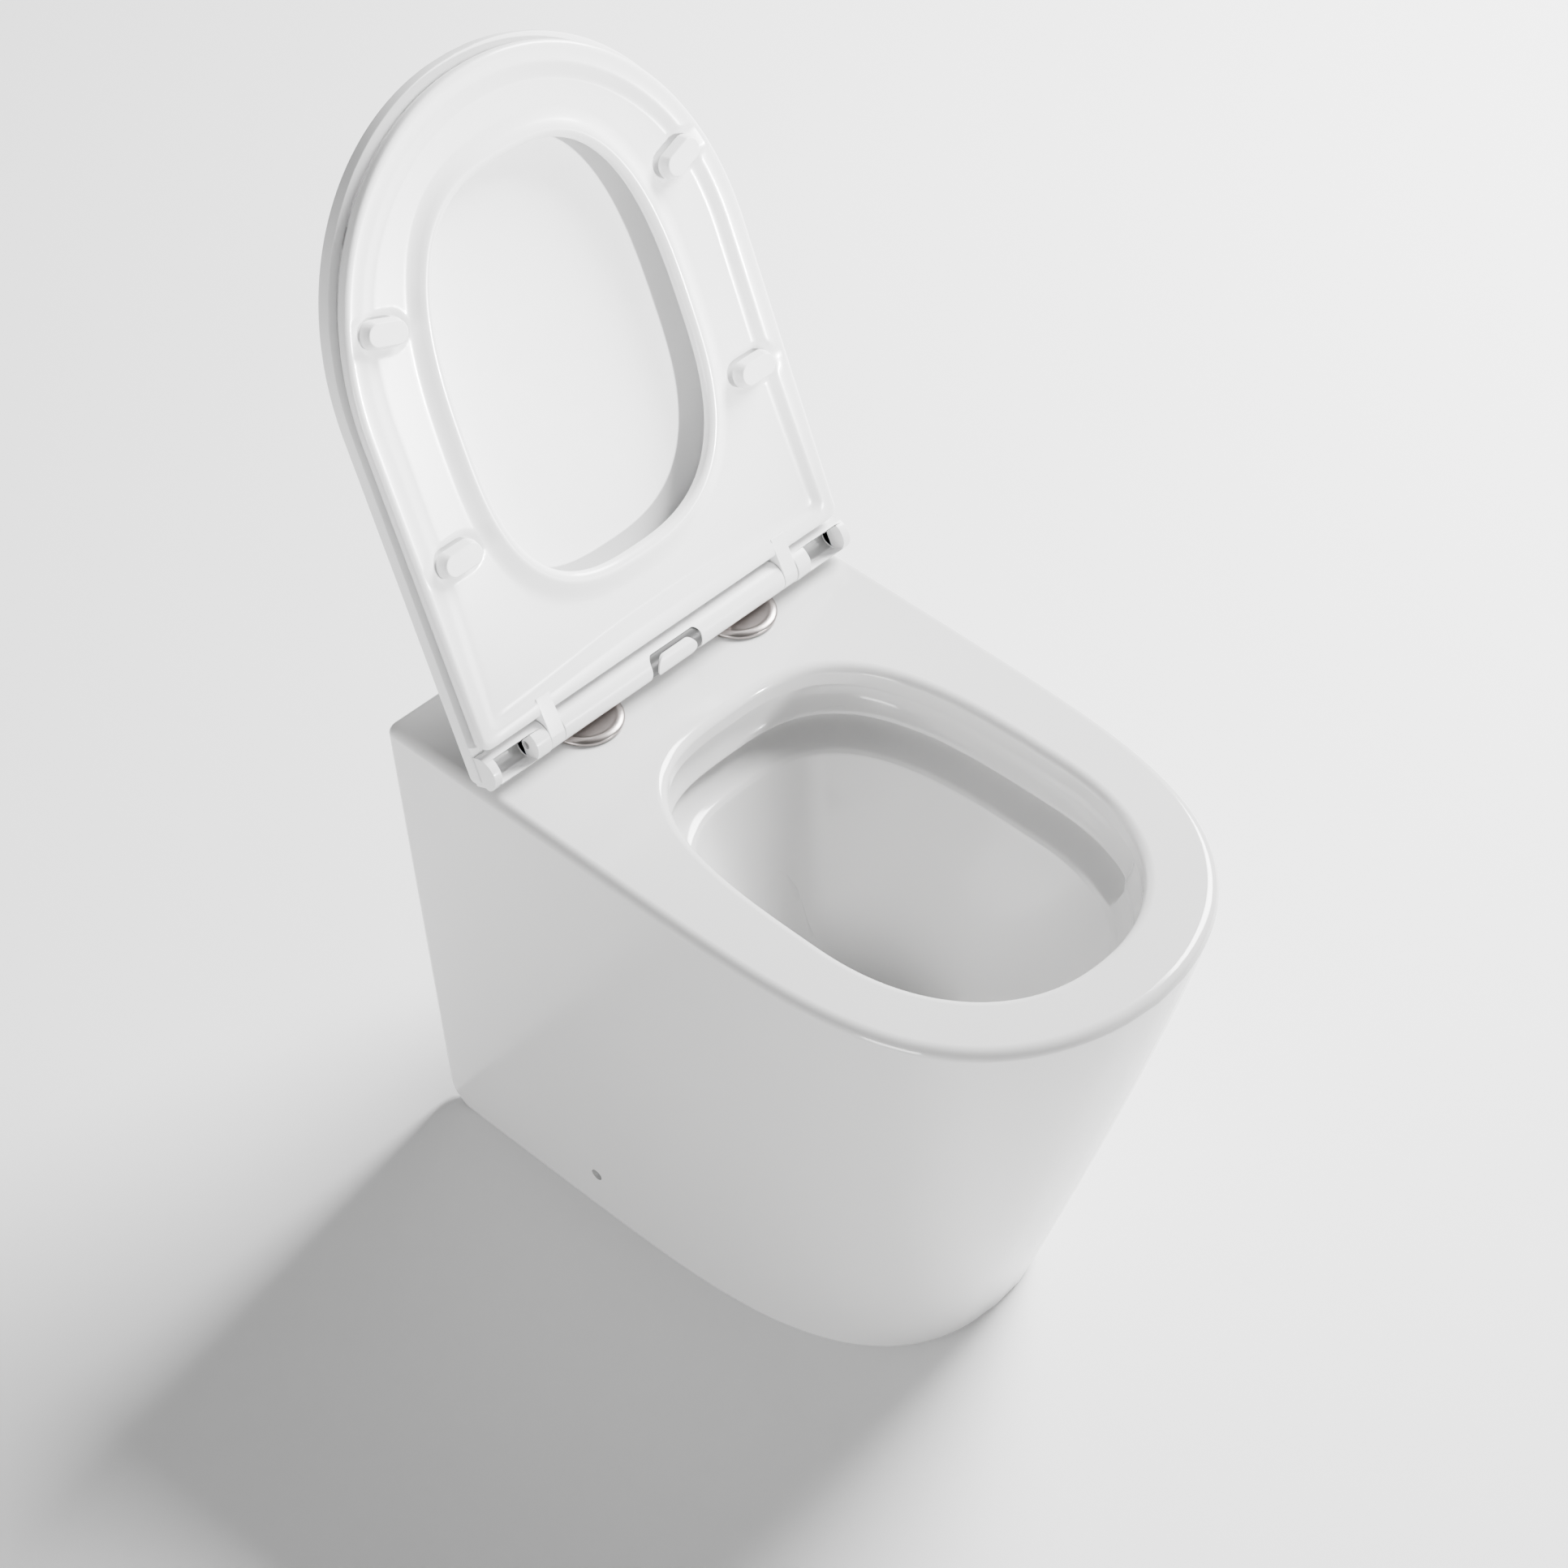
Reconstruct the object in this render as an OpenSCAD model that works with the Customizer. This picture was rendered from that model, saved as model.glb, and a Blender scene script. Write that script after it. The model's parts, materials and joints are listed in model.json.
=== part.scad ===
// Back-to-wall rimless toilet pan with a soft-close seat and lid.
// Frame: millimetres, +Z up, front faces -Y, +X to the right seen from the front.
// The modules are written from the wall plane (y = 0) and the floor (z = 0), and
// place() moves them so that the origin is under the middle of the whole object.

/* [Pan] */
// height of the rim above the floor
pan_h = 420; // [380:1:460]
// projection of the pan from the wall
pan_l = 555; // [480:1:620]
// width of the pan at deck level
pan_w = 358; // [330:1:400]
// width of the plinth at the floor
foot_w = 272; // [220:1:340]
// length of the plinth at the floor
foot_l = 440; // [380:1:520]
// casting wall thickness
wall_t = 11; // [8:1:16]
// thickness of the deck
deck_t = 18; // [12:1:30]
// rounding of the deck's outer edge
deck_r = 8; // [4:1:14]
// rounding of the skirt's rear bottom corner
heel_r = 22; // [8:1:40]

/* [Bowl] */
// half width of the bowl opening at the lip
bowl_hw = 121.5; // [100:0.5:140]
// widest station of the opening, from the wall
bowl_mid = 360; // [300:1:400]
// length of the opening behind the widest station
bowl_rear = 198.5; // [160:0.5:230]
// length of the opening in front of the widest station
bowl_front = 143; // [110:0.5:170]
// rounding of the rim into the bowl
rim_r = 8; // [4:0.5:14]
// depth of the bowl floor above the base
sump_z = 118; // [100:1:160]
// height of the sump's upper edge
sump_top = 240; // [200:1:280]

/* [Plumbing] */
// height of the outlet's centre
outlet_z = 185; // [150:1:220]
// outside radius of the outlet spigot
outlet_r = 51; // [45:0.5:56]
// bore at the mouth of the outlet
outlet_br = 43; // [40:0.5:46]
// depth of that bore
outlet_d = 26; // [15:1:40]
// height of the flush inlet's centre
inlet_z = 335; // [300:1:360]
// radius of the flush inlet bore
inlet_r = 27.5; // [20:0.5:32]
// depth of the flush inlet bore
inlet_d = 60; // [40:1:90]
// height of the side fixing holes
fix_z = 42; // [25:1:60]
// distance of the side fixing holes from the wall
fix_y = 165; // [100:1:220]
// radius of the side fixing holes
fix_r = 5; // [3:0.5:8]

/* [Hinge] */
// distance between the two seat fixing holes
hole_gap = 155; // [150:1:170]
// radius of each fixing hole in the deck
hole_r = 7; // [5:0.5:9]
// distance of the fixing holes from the wall
hole_y = 96; // [60:1:130]
// distance of the hinge axis from the wall
axis_y = 100; // [60:1:140]
// height of the hinge axis above the deck
axis_up = 18; // [14:0.5:24]
// radius of the hinge bar
bar_r = 12.5; // [10:0.5:15]
// half length of the hinge bar
bar_hl = 110; // [90:1:120]
// distance between the two hinge posts
post_gap = 126; // [110:1:140]
// radius of each hinge post
post_r = 4; // [3:0.25:5]
// opening angle of seat and lid, from closed to leaning back
open_deg = 114.8; // [90:0.1:120]
// travel of the release button
press = 3; // [2:0.25:4]

/* [Seat and lid] */
// half width of the seat
seat_hw = 178; // [160:0.5:190]
// reach of the seat in front of the hinge axis
seat_l = 446; // [420:1:460]
// half width of the lid
lid_hw = 180; // [160:0.5:195]
// reach of the lid in front of the hinge axis
lid_l = 452; // [420:1:470]
// height of the lid's outer face above the hinge axis, closed
lid_top = 17; // [13:0.5:24]
// height of the lid's rim edge above the hinge axis, closed
lid_rim = 3; // [0:0.5:8]
// height of the seat's upper face above the hinge axis, closed
seat_top = 1; // [-2:0.5:4]
// height of the seat's under face relative to the hinge axis, closed
seat_bot = -10.5; // [-14:0.5:-6]
// half width of the seat opening
hole_hw = 103; // [90:0.5:120]
// reach of the seat opening in front of the hinge axis
hole_l = 378; // [340:1:400]
// seat buffer height
buf_h = 6.9; // [5:0.1:10]

/* [Hidden] */
$fn = 48;
wall_y = 225.1;                     // wall plane from the object's middle
hw0 = foot_w / 2;
hw1 = pan_w / 2;
lean = atan((hw1 - hw0) / pan_h);        // how far the sides lean out
axis_z = pan_h + axis_up;
kn_w = 13;                          // width of a seat knuckle
ring_w = 13;                        // width of a lid knuckle ring
gap = 0.6;                          // side gap between neighbouring knuckles
kn_x = bar_hl + gap;                // inner face of a seat knuckle
ring_x = kn_x + kn_w + gap;         // inner face of a lid ring
end_x = 178.5;                      // outer face of the lid's end
white = [0.93, 0.93, 0.92];
china = [0.88, 0.88, 0.87];
steel = [0.62, 0.59, 0.57];
grey = [0.42, 0.42, 0.43];

function lerp(a, b, t) = a + (b - a) * t;
function sgn(v) = v < 0 ? -1 : 1;
function flat(l) = [for (a = l) for (b = a) b];

module place() translate([0, wall_y, 0]) children();
module at_hinge() place() translate([0, -axis_y, axis_z]) children();
module raised() at_hinge() rotate([-open_deg, 0, 0]) children();
module side(s) { if (s < 0) mirror([1, 0, 0]) children(); else children(); }

// solid between stacked rings of the same number of points
module loft(rings) {
  n = len(rings[0]); m = len(rings);
  polyhedron(points = flat(rings), convexity = 8, faces = concat(
    [[for (i = [0:n - 1]) i]],
    [[for (i = [n - 1:-1:0]) (m - 1) * n + i]],
    [for (k = [0:m - 2]) for (i = [0:n - 1]) let (j = (i + 1) % n)
      [k * n + j, k * n + i, (k + 1) * n + i]],
    [for (k = [0:m - 2]) for (i = [0:n - 1]) let (j = (i + 1) % n)
      [k * n + j, (k + 1) * n + i, (k + 1) * n + j]]));
}
// closed band: rings joined end to end round an opening
module band(rings) {
  n = len(rings[0]); m = len(rings);
  polyhedron(points = flat(rings), convexity = 8, faces = concat(
    [for (k = [0:m - 1]) for (i = [0:n - 1]) let (j = (i + 1) % n, q = (k + 1) % m)
      [k * n + i, k * n + j, q * n + i]],
    [for (k = [0:m - 1]) for (i = [0:n - 1]) let (j = (i + 1) % n, q = (k + 1) % m)
      [q * n + i, k * n + j, q * n + j]]));
}

// ---- pan outline: straight back, nearly straight sides, rounded nose ----
// hw half width, ys end of the straight side, l reach, a and b the nose's squareness
function d_half(hw, ys, l, a, b, n) = [for (i = [0:n]) let (t = 90 * i / n)
  [hw * pow(cos(t), 2 / b), -lerp(ys, l, pow(sin(t), 2 / a))]];
function turned(l) = [for (i = [len(l) - 1:-1:0]) l[i]];
function d_line(hw, ys, l, a, b, n, yr, rc) = let (h = d_half(hw, ys, l, a, b, n))
  turned(concat([for (t = [90:-30:0]) [hw - rc + rc * cos(t), -yr - rc + rc * sin(t)]],
    [for (k = [1:3]) [hw, lerp(-yr - rc, -ys, k / 4)]],
    h, [for (i = [n - 1:-1:0]) [-h[i][0], h[i][1]]],
    [for (k = [3:-1:1]) [-hw, lerp(-yr - rc, -ys, k / 4)]],
    [for (t = [0:30:90]) [-hw + rc - rc * cos(t), -yr - rc + rc * sin(t)]]));
function skin(z, inset, n, yr) = let (t = z / pan_h, g = 1 - pow(1 - t, 1.12))
  [for (p = d_line(lerp(hw0, hw1, t) - inset, lerp(104, 95, t), lerp(foot_l, pan_l, g) - inset,
    lerp(4.2, 6, t), lerp(2.26, 1.86, t), n, yr, 8)) [p[0], p[1], z]];
function heel(z) = z >= heel_r ? 0 : heel_r - sqrt(heel_r * heel_r - pow(heel_r - z, 2));
function lift(ring, z) = [for (p = ring) [p[0], p[1], z]];

module pan_skin() loft(concat(
  [for (z = [0, 2, 6, 13, heel_r, 110, 210, 310, pan_h - deck_r - 0.01]) skin(z, 0, 26, heel(z))],
  [for (q = [22.5, 45, 67.5, 90])
    lift(skin(pan_h - deck_r, deck_r * (1 - cos(q)), 26, deck_r * (1 - cos(q))),
      pan_h - deck_r + deck_r * sin(q))]));
module pan_hollow() translate([0, 40, 0]) loft(
  [for (z = [-2, 110, 210, 310, pan_h - deck_t])
    [for (p = skin(max(z, 0), wall_t, 14, 0)) [p[0], p[1] > -30 ? p[1] : p[1] - 40, z]]]);

// ---- bowl: closed curve with a squarer rear half ----
function egg(hw, mid, rear, front, nr, nf, n) = [for (i = [0:n - 1]) let (t = 360 * i / n,
  c = cos(t), s = sin(t), e = s > 0 ? nr : nf)
  [hw * sgn(c) * pow(abs(c), 2 / e), -mid + (s > 0 ? rear : front) * sgn(s) * pow(abs(s), 2 / e)]];
// how much of the flush channel is cut at a point: full behind, none at the nose
function chan(y) = let (u = min(1, max(0, (y + bowl_mid + 112) / 40))) u * u * (3 - 2 * u);
// out_ch and out_fr: growth of the lip outline in the channel and at the nose
function bowl_ring(z, out_ch, out_fr, n, extra) = let (
  e = egg(bowl_hw, bowl_mid, bowl_rear, bowl_front, 3.1, 2.2, n))
  [for (p = e) let (o = lerp(out_fr, out_ch, chan(p[1])) + extra)
    [p[0] * (bowl_hw + o) / bowl_hw,
     -bowl_mid + (p[1] + bowl_mid) * (p[1] > -bowl_mid ? (bowl_rear + o) / bowl_rear
       : (bowl_front + o) / bowl_front), z]];
function dish(s, z, n, extra) = let (k = -18)
  [for (p = egg(lerp(bowl_hw + k, 50, s) + extra, lerp(bowl_mid, 300, s),
    lerp(bowl_rear + k, 62, s) + extra, lerp(bowl_front + k, 70, s) + extra,
    lerp(3.1, 2, s), 2.2 - 0.2 * s, n)) [p[0], p[1], z]];
// each step: depth below the rim, growth in the channel, growth at the nose
function shelf() = [[16, 0, 0], [18, 1.2, -0.3], [19.5, 3.5, -0.6], [39, 2.5, -3.5],
  [42.5, 1.2, -4.2], [45, 0.8, -4.8], [46.5, 2.5, -5.2], [50, 4.5, -6.5], [54, 4, -8.5],
  [58, 0, -11], [60.5, -6, -13], [62, -12, -14.5], [64.5, -16, -16]];
// each step: share of the way in to the sump, share of the way down to its edge
function slope() = [[0, 0], [0.06, 0.09], [0.14, 0.2], [0.24, 0.32], [0.36, 0.46],
  [0.5, 0.61], [0.64, 0.73], [0.78, 0.84], [0.9, 0.93], [1, 1]];
function slope_ring(v, n, extra) =
  dish(v[0], lerp(pan_h - 68, sump_top, v[1]), n, extra);
function sump_ring(w, z, n) =
  [for (p = egg(w, 300, w * 1.24, w * 1.4, 2, 2, n)) [p[0], p[1], z]];
module bowl_cavity() loft(concat(
  [for (v = [[16, 0], [27, 3], [34, 12], [38, 32], [43, 62], [47, 95]])
    sump_ring(v[0], sump_z + v[1], 52)],
  [for (i = [9:-1:0]) slope_ring(slope()[i], 52, 0)],
  [for (i = [12:-1:0]) bowl_ring(pan_h - shelf()[i][0], shelf()[i][1], shelf()[i][2], 52, 0)],
  [for (q = [22.5, 45, 67.5, 90]) bowl_ring(pan_h - rim_r + rim_r * sin(q),
    rim_r * (1 - cos(q)), rim_r * (1 - cos(q)), 52, 0)],
  [bowl_ring(pan_h + 3, rim_r, rim_r, 52, 0)]));
module bowl_shell() loft(concat(
  [for (v = [[24, -9], [38, -2], [47, 14], [55, 60], [58, 96]])
    sump_ring(v[0], sump_z + v[1], 36)],
  [for (i = [8, 6, 4, 2, 0]) slope_ring(slope()[i], 36, 10)],
  [bowl_ring(pan_h - 62, 4, 4, 36, 8), bowl_ring(pan_h - 48, 6, 4, 36, 8),
   bowl_ring(pan_h - deck_t + 4, 6, 4, 36, 8)]));

// ---- trapway: a tube that dips, climbs over a weir and falls to the outlet ----
trap = [[-300, 152, 34], [-262, 152, 34], [-228, 170, 35], [-200, 212, 36], [-174, 254, 38],
  [-138, 275, 38], [-105, 262, 39], [-84, 226, 40], [-66, 197, 40.3], [-52, 187, 40.6],
  [-38, outlet_z, 40.6], [-20, outlet_z, 40.6], [-14, outlet_z, 40.6]];
function trap_dir(i) = let (a = trap[max(0, i - 1)], b = trap[min(len(trap) - 1, i + 1)],
  d = norm([b[0] - a[0], b[1] - a[1]])) [(b[0] - a[0]) / d, (b[1] - a[1]) / d];
function trap_ring(i, grow, n) = let (p = trap[i], t = trap_dir(i), r = p[2] + grow)
  [for (k = [0:n - 1]) let (q = 360 * (k + 0.5) / n)
    [-r * cos(q), p[0] - r * sin(q) * t[1], p[1] + r * sin(q) * t[0]]];
module trap_tube(grow, last) loft([for (i = [0:last]) trap_ring(i, grow, 24)]);

// straight rod between two points
module rod(a, b, r) { d = b - a; translate(a)
  rotate([0, acos(d[2] / norm(d)), atan2(d[1], d[0])]) cylinder(r = r, h = norm(d), $fn = 20); }
module jets(r, over) for (s = [-1, 1])
  rod([s * 14, -70, inlet_z + 10], [s * (98 + over), -207 - over, pan_h - 50], r);

module casting() resize([0, 0, 0]) difference() {
  union() {
    difference() { pan_skin(); pan_hollow(); }
    intersection() { pan_skin(); bowl_shell(); }
    trap_tube(outlet_r - 41.6, 11);
    jets(15, -8);
    translate([0, -92, inlet_z]) rotate([-90, 0, 0]) cylinder(r = inlet_r + 9, h = 72);
    for (s = [-1, 1]) translate([s * 22 - 5, -88, inlet_z]) cube([10, 54, pan_h - deck_t + 2 - inlet_z]);
    translate([-6, -92, outlet_z + 30]) cube([12, 50, inlet_z - outlet_z - 50]);
    // thickened seats round the side fixing holes
    for (s = [-1, 1]) translate([s * (hw0 - 8), -fix_y, fix_z]) rotate([0, 90, 0])
      cylinder(r = 13, h = 24, center = true);
  }
  bowl_cavity();
  trap_tube(0, 12);
  jets(8.5, 0);
  // trims the fixing seats flush with the skirt
  for (s = [-1, 1]) translate([s * (hw0 + 30), -fix_y, fix_z]) cube([44, 40, 40], center = true);
}
module pan() color(china) place() difference() {
  casting();
  translate([0, -outlet_d - 20, outlet_z]) rotate([-90, 0, 0]) cylinder(r = outlet_br, h = 60);
  translate([0, -20 - inlet_d, inlet_z]) rotate([-90, 0, 0])
    cylinder(r = inlet_r, h = inlet_d + 20);
  for (s = [-1, 1]) {
    translate([s * hole_gap / 2, -hole_y, pan_h - deck_t - 5]) cylinder(r = hole_r, h = deck_t + 10);
    // drilled square to the leaning side
    translate([s * (hw0 - 2), -fix_y, fix_z]) rotate([0, s * (90 + lean), 0])
      cylinder(r = fix_r, h = 44, center = true);
  }
}
// rubber sleeve lining the flush inlet
module inlet_seal() color([0.15, 0.15, 0.15]) place() translate([0, -20, inlet_z]) rotate([90, 0, 0])
  rotate_extrude() polygon([[inlet_r, -0.5], [inlet_r + 4, -0.5], [inlet_r + 4, -3.5],
    [inlet_r - 3.5, -3.5], [inlet_r - 3.5, 34], [inlet_r - 0.4, 34], [inlet_r - 0.4, 20],
    [inlet_r, 18]]);

// ---- seat fixing hardware, right hand side; z from the deck ----
module at_hole(s) place() side(s) translate([hole_gap / 2, -hole_y, pan_h]) children();
module gasket() difference() { cylinder(r = 27, h = 0.8); translate([0, 0, -1]) cylinder(r = 3.6, h = 3); }
module rosette() {
  px = post_gap / 2 - hole_gap / 2; py = hole_y - axis_y;
  difference() {
    union() {
      rotate_extrude() polygon([[0, 0.8], [29, 0.8], [29, 2], [28.4, 2.8], [24.8, 5],
        [23.8, 5], [22.8, 4.4], [16, 3.5], [8, 3.2], [0, 3.2]]);
      translate([px, py, 2]) cylinder(r = 6.5, h = 2.4);
    }
    cylinder(r = 3.25, h = 10);
    translate([0, 0, 0.9]) cylinder(r1 = 3.25, r2 = 6.45, h = 3);
    translate([px, py, 0]) cylinder(r = post_r, h = 10);
  }
}
module post() translate([post_gap / 2 - hole_gap / 2, hole_y - axis_y, 0]) rotate_extrude() polygon([
  [0, 0.8], [post_r, 0.8], [post_r, axis_up - 1.7], [2.8, axis_up - 1.7], [2.8, axis_up + 1.7],
  [post_r, axis_up + 1.7], [post_r, axis_up + 2.4], [post_r - 1, axis_up + 3.4], [0, axis_up + 3.4]]);
module screw() difference() {
  rotate_extrude() polygon([[0, -62], [2.4, -62], [3, -61], [3, 0.9], [6.2, 3.8], [6.2, 4.2], [0, 4.2]]);
  translate([-4.5, -0.6, 3.2]) cube([9, 1.2, 2]);
}
module sleeve() rotate_extrude() polygon([[3.3, -50], [9.5, -50], [10.5, -46], [10.5, -deck_t - 0.5],
  [hole_r - 0.05, -deck_t - 0.5], [hole_r - 0.05, -0.2], [3.3, -0.2]]);
module nut() difference() {
  translate([0, 0, -57]) cylinder(r = 9, h = 6.9, $fn = 6);
  translate([0, 0, -60]) cylinder(r = 3.02, h = 20);
}
module gasket_l() color([0.8, 0.8, 0.8]) at_hole(-1) gasket();
module gasket_r() color([0.8, 0.8, 0.8]) at_hole(1) gasket();
module rosette_l() color(steel) at_hole(-1) rosette();
module rosette_r() color(steel) at_hole(1) rosette();
module stud_l() color(steel) at_hole(-1) post();
module stud_r() color(steel) at_hole(1) post();
module screw_l() color(steel) at_hole(-1) screw();
module screw_r() color(steel) at_hole(1) screw();
module sleeve_l() color([0.2, 0.2, 0.2]) at_hole(-1) sleeve();
module sleeve_r() color([0.2, 0.2, 0.2]) at_hole(1) sleeve();
module nut_l() color([0.7, 0.6, 0.3]) at_hole(-1) nut();
module nut_r() color([0.7, 0.6, 0.3]) at_hole(1) nut();

// ---- hinge bar and its works, about the hinge axis ----
module xcyl(x0, x1, r) translate([x0, 0, 0]) rotate([0, 90, 0]) cylinder(r = r, h = x1 - x0);
module ycyl(y0, y1, r) translate([0, y0, 0]) rotate([-90, 0, 0]) cylinder(r = r, h = y1 - y0);
win_hw = 25; win_lo = -10.5; win_hi = 11.4;   // button window in the bar
pill_hl = 10.4; pill_r = 8.6;                 // button: half straight length and end radius
module pill(grow, y0, y1) {
  for (s = [-1, 1]) translate([s * pill_hl, 0, 0]) ycyl(y0, y1, pill_r + grow);
  translate([-pill_hl, y0, -pill_r - grow]) cube([2 * pill_hl, y1 - y0, 2 * (pill_r + grow)]);
}
module window(shy, y0, y1) {
  r = 5;
  for (s = [-1, 1]) for (z = [win_lo + r, win_hi - r])
    translate([s * (win_hw - r), 0, z]) ycyl(y0, y1, r - shy);
  translate([-win_hw + shy, y0, win_lo + r]) cube([2 * (win_hw - shy), y1 - y0, win_hi - win_lo - 2 * r]);
  translate([-win_hw + r, y0, win_lo + shy]) cube([2 * (win_hw - r), y1 - y0, win_hi - win_lo - 2 * shy]);
}
module hinge_bar() color(white) at_hinge() difference() {
  xcyl(-bar_hl, bar_hl, bar_r);
  window(0, -14, -3);
  ycyl(-4, 6.5, 4.4);
  translate([-71, -5, -1.6]) cube([142, 10, 3.2]);
  for (s = [-1, 1]) {
    translate([s * post_gap / 2, 0, -14]) cylinder(r = post_r + 0.06, h = 18);
    side(s) xcyl(80, bar_hl + 1, 7.5);
  }
}
module damper() difference() { xcyl(80.2, bar_hl - 0.3, 7.45); xcyl(91, bar_hl + 1, 3.05); }
module damper_l() color(grey) at_hinge() side(-1) damper();
module damper_r() color(grey) at_hinge() damper();
module release_frame() color(grey) at_hinge() difference() {
  intersection() { xcyl(-30, 30, bar_r - 0.9); window(0.05, -13, -4.5); }
  pill(0.25, -14, -4);
}
module release_button() color(white) at_hinge() {
  intersection() { xcyl(-30, 30, bar_r + 0.5); pill(0, -14, -7.7); }
  ycyl(-7.8, -3.6, 2);
}
// coil drawn as one closed bellows at its pressed length
module button_spring() color(steel) at_hinge() translate([0, -0.2, 0]) rotate([-90, 0, 0])
  rotate_extrude() polygon([[2.6, 0], [3.8, 1], [2.6, 2], [3.8, 3], [2.6, 4], [3.8, 5], [2.6, 6],
    [3.2, 6.4], [4.2, 5], [3.2, 4], [4.2, 3], [3.2, 2], [4.2, 1], [3.2, 0]]);
module latch() difference() {
  translate([16, -4.3, -1.3]) cube([54 - press, 8.6, 2.6]);
  translate([post_gap / 2, 0, -3]) cylinder(r = 2.95, h = 6);
  translate([post_gap / 2 + press, 0, -3]) cylinder(r = post_r + 0.15, h = 6);
}
module latch_l() color(steel) at_hinge() side(-1) latch();
module latch_r() color(steel) at_hinge() latch();
module pin() xcyl(92, ring_x + ring_w - 1.6, 3);
module lid_pin() color(steel) at_hinge() side(-1) pin();
module seat_pin() color(steel) at_hinge() pin();

// ---- seat, drawn closed about the hinge axis and then raised ----
function seat_out(n) = let (h = d_half(seat_hw, 250, seat_l, 2.1, 2.05, n))
  concat([[0, -16.5], [60, -16.5], [120, -16.5], [150, -16.5]],
    [for (t = [90:-30:0]) [seat_hw - 9 + 8 * cos(t), -24.5 + 8 * sin(t)]],
    [for (k = [1:4]) [seat_hw - 1 + k / 5, lerp(-24.5, -250, k / 5)]],
    h, [for (i = [n - 1:-1:0]) [-h[i][0], h[i][1]]],
    [for (k = [4:-1:1]) [-seat_hw + 1 - k / 5, lerp(-24.5, -250, k / 5)]],
    [for (t = [0:30:90]) [-seat_hw + 9 - 8 * cos(t), -24.5 + 8 * sin(t)]],
    [[-150, -16.5], [-120, -16.5], [-60, -16.5]]);
// matching stations round the opening
function seat_in(n) = [for (t = concat([90, 76, 64, 56], [52, 48, 44, 40], [32, 24, 16, 8],
    [for (i = [0:n]) -90 * i / n])) hole_pt(t)];
function hole_pt(t) = let (c = cos(t), s = sin(t), e = s > 0 ? 3.1 : 2.6)
  [hole_hw * pow(abs(c), 2 / e), -215 + (s > 0 ? 131 : hole_l - 215) * sgn(s) * pow(abs(s), 2 / e)];
function seat_loop(n) = let (r = seat_in(n)) concat(r, [for (i = [len(r) - 2:-1:1]) [-r[i][0], r[i][1]]]);
// section: share of the way from the outer edge to the opening, height
function seat_section() = let (b = seat_bot, t = seat_top) [[0.0, b + 3], [0.012, b + 1],
  [0.04, b], [0.24, b], [0.32, b + 1.2], [0.4, b + 2], [0.7, b + 2.2], [0.8, b + 1.6], [0.88, b + 0.2],
  [0.93, b - 0.2], [0.975, b + 1], [1, b + 3.4], [0.99, t - 3], [0.93, t - 0.8], [0.8, t],
  [0.2, t], [0.05, t - 0.6], [0.012, t - 1.6], [0, t - 3]];
module seat_band() let (n = 16, o = seat_out(n), c = seat_loop(n))
  band([for (i = [0:len(o) - 1]) [for (v = seat_section())
    [lerp(o[i][0], c[i][0], v[0]), lerp(o[i][1], c[i][1], v[0]), v[1]]]]);
module knuckle(r) difference() {
  union() {
    xcyl(kn_x, kn_x + kn_w, r);
    translate([kn_x, 0, 0]) rotate([90, 0, 90]) linear_extrude(height = kn_w)
      polygon([[0, -r], [-14, -r], [-27, seat_bot + 0.4], [-27, -3], [-14, -2], [0, 0]]);
  }
  xcyl(kn_x - 1, kn_x + kn_w + 1, 3.05);
}
module pad_seat(x, y, turn) translate([x, -y, seat_bot - 3]) rotate([0, 0, turn])
  stud(37.1, 19.1, 4.95);
module seat() color(white) raised() difference() {
  union() {
    seat_band();
    for (s = [-1, 1]) side(s) knuckle(bar_r);
  }
  for (s = [-1, 1]) {
    pad_seat(s * 138, 315, -s * 18);
    pad_seat(s * 143, 150, 0);
  }
}
// buffers: [x, reach from the hinge axis, turn]
module stud(l, w, h) {
  for (s = [-1, 1]) translate([s * (l - w) / 2, 0, 0]) cylinder(r = w / 2, h = h);
  translate([-(l - w) / 2, -w / 2, 0]) cube([l - w, w, h]);
}
module buffer(x, y, turn) translate([x, -y, seat_bot - buf_h]) rotate([0, 0, turn]) {
  stud(34, 16, buf_h + 1.9);
  translate([0, 0, 2]) stud(37, 19, buf_h - 0.1);
}
module buffer_fl() color(white) raised() buffer(-138, 315, 18);
module buffer_fr() color(white) raised() buffer(138, 315, -18);
module buffer_rl() color(white) raised() buffer(-143, 150, 0);
module buffer_rr() color(white) raised() buffer(143, 150, 0);

// ---- lid, drawn closed about the hinge axis and then raised ----
function lid_ring(inset, z, rear, n) = [for (p = d_line(lid_hw - inset, 255, lid_l - inset, 2.1, 2.05,
  n, rear, 7)) [p[0], p[1], z]];
module lid_slab() loft(concat(
  [lid_ring(0.8, lid_rim, -10.2, 18), lid_ring(0, lid_rim + 0.8, -11, 18), lid_ring(0, lid_top - 5, -11, 18)],
  [for (q = [22.5, 45, 67.5, 90]) lid_ring(5 * (1 - cos(q)), lid_top - 5 + 5 * sin(q),
    -11 + 5 * (1 - cos(q)), 18)]));
module lid_recess() loft([lid_ring(9, lid_rim - 2, 22, 14), lid_ring(9, lid_rim + 2, 22, 14),
  lid_ring(11, lid_top - 6.5, 24, 14), lid_ring(14, lid_top - 5, 27, 14)]);
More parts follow.
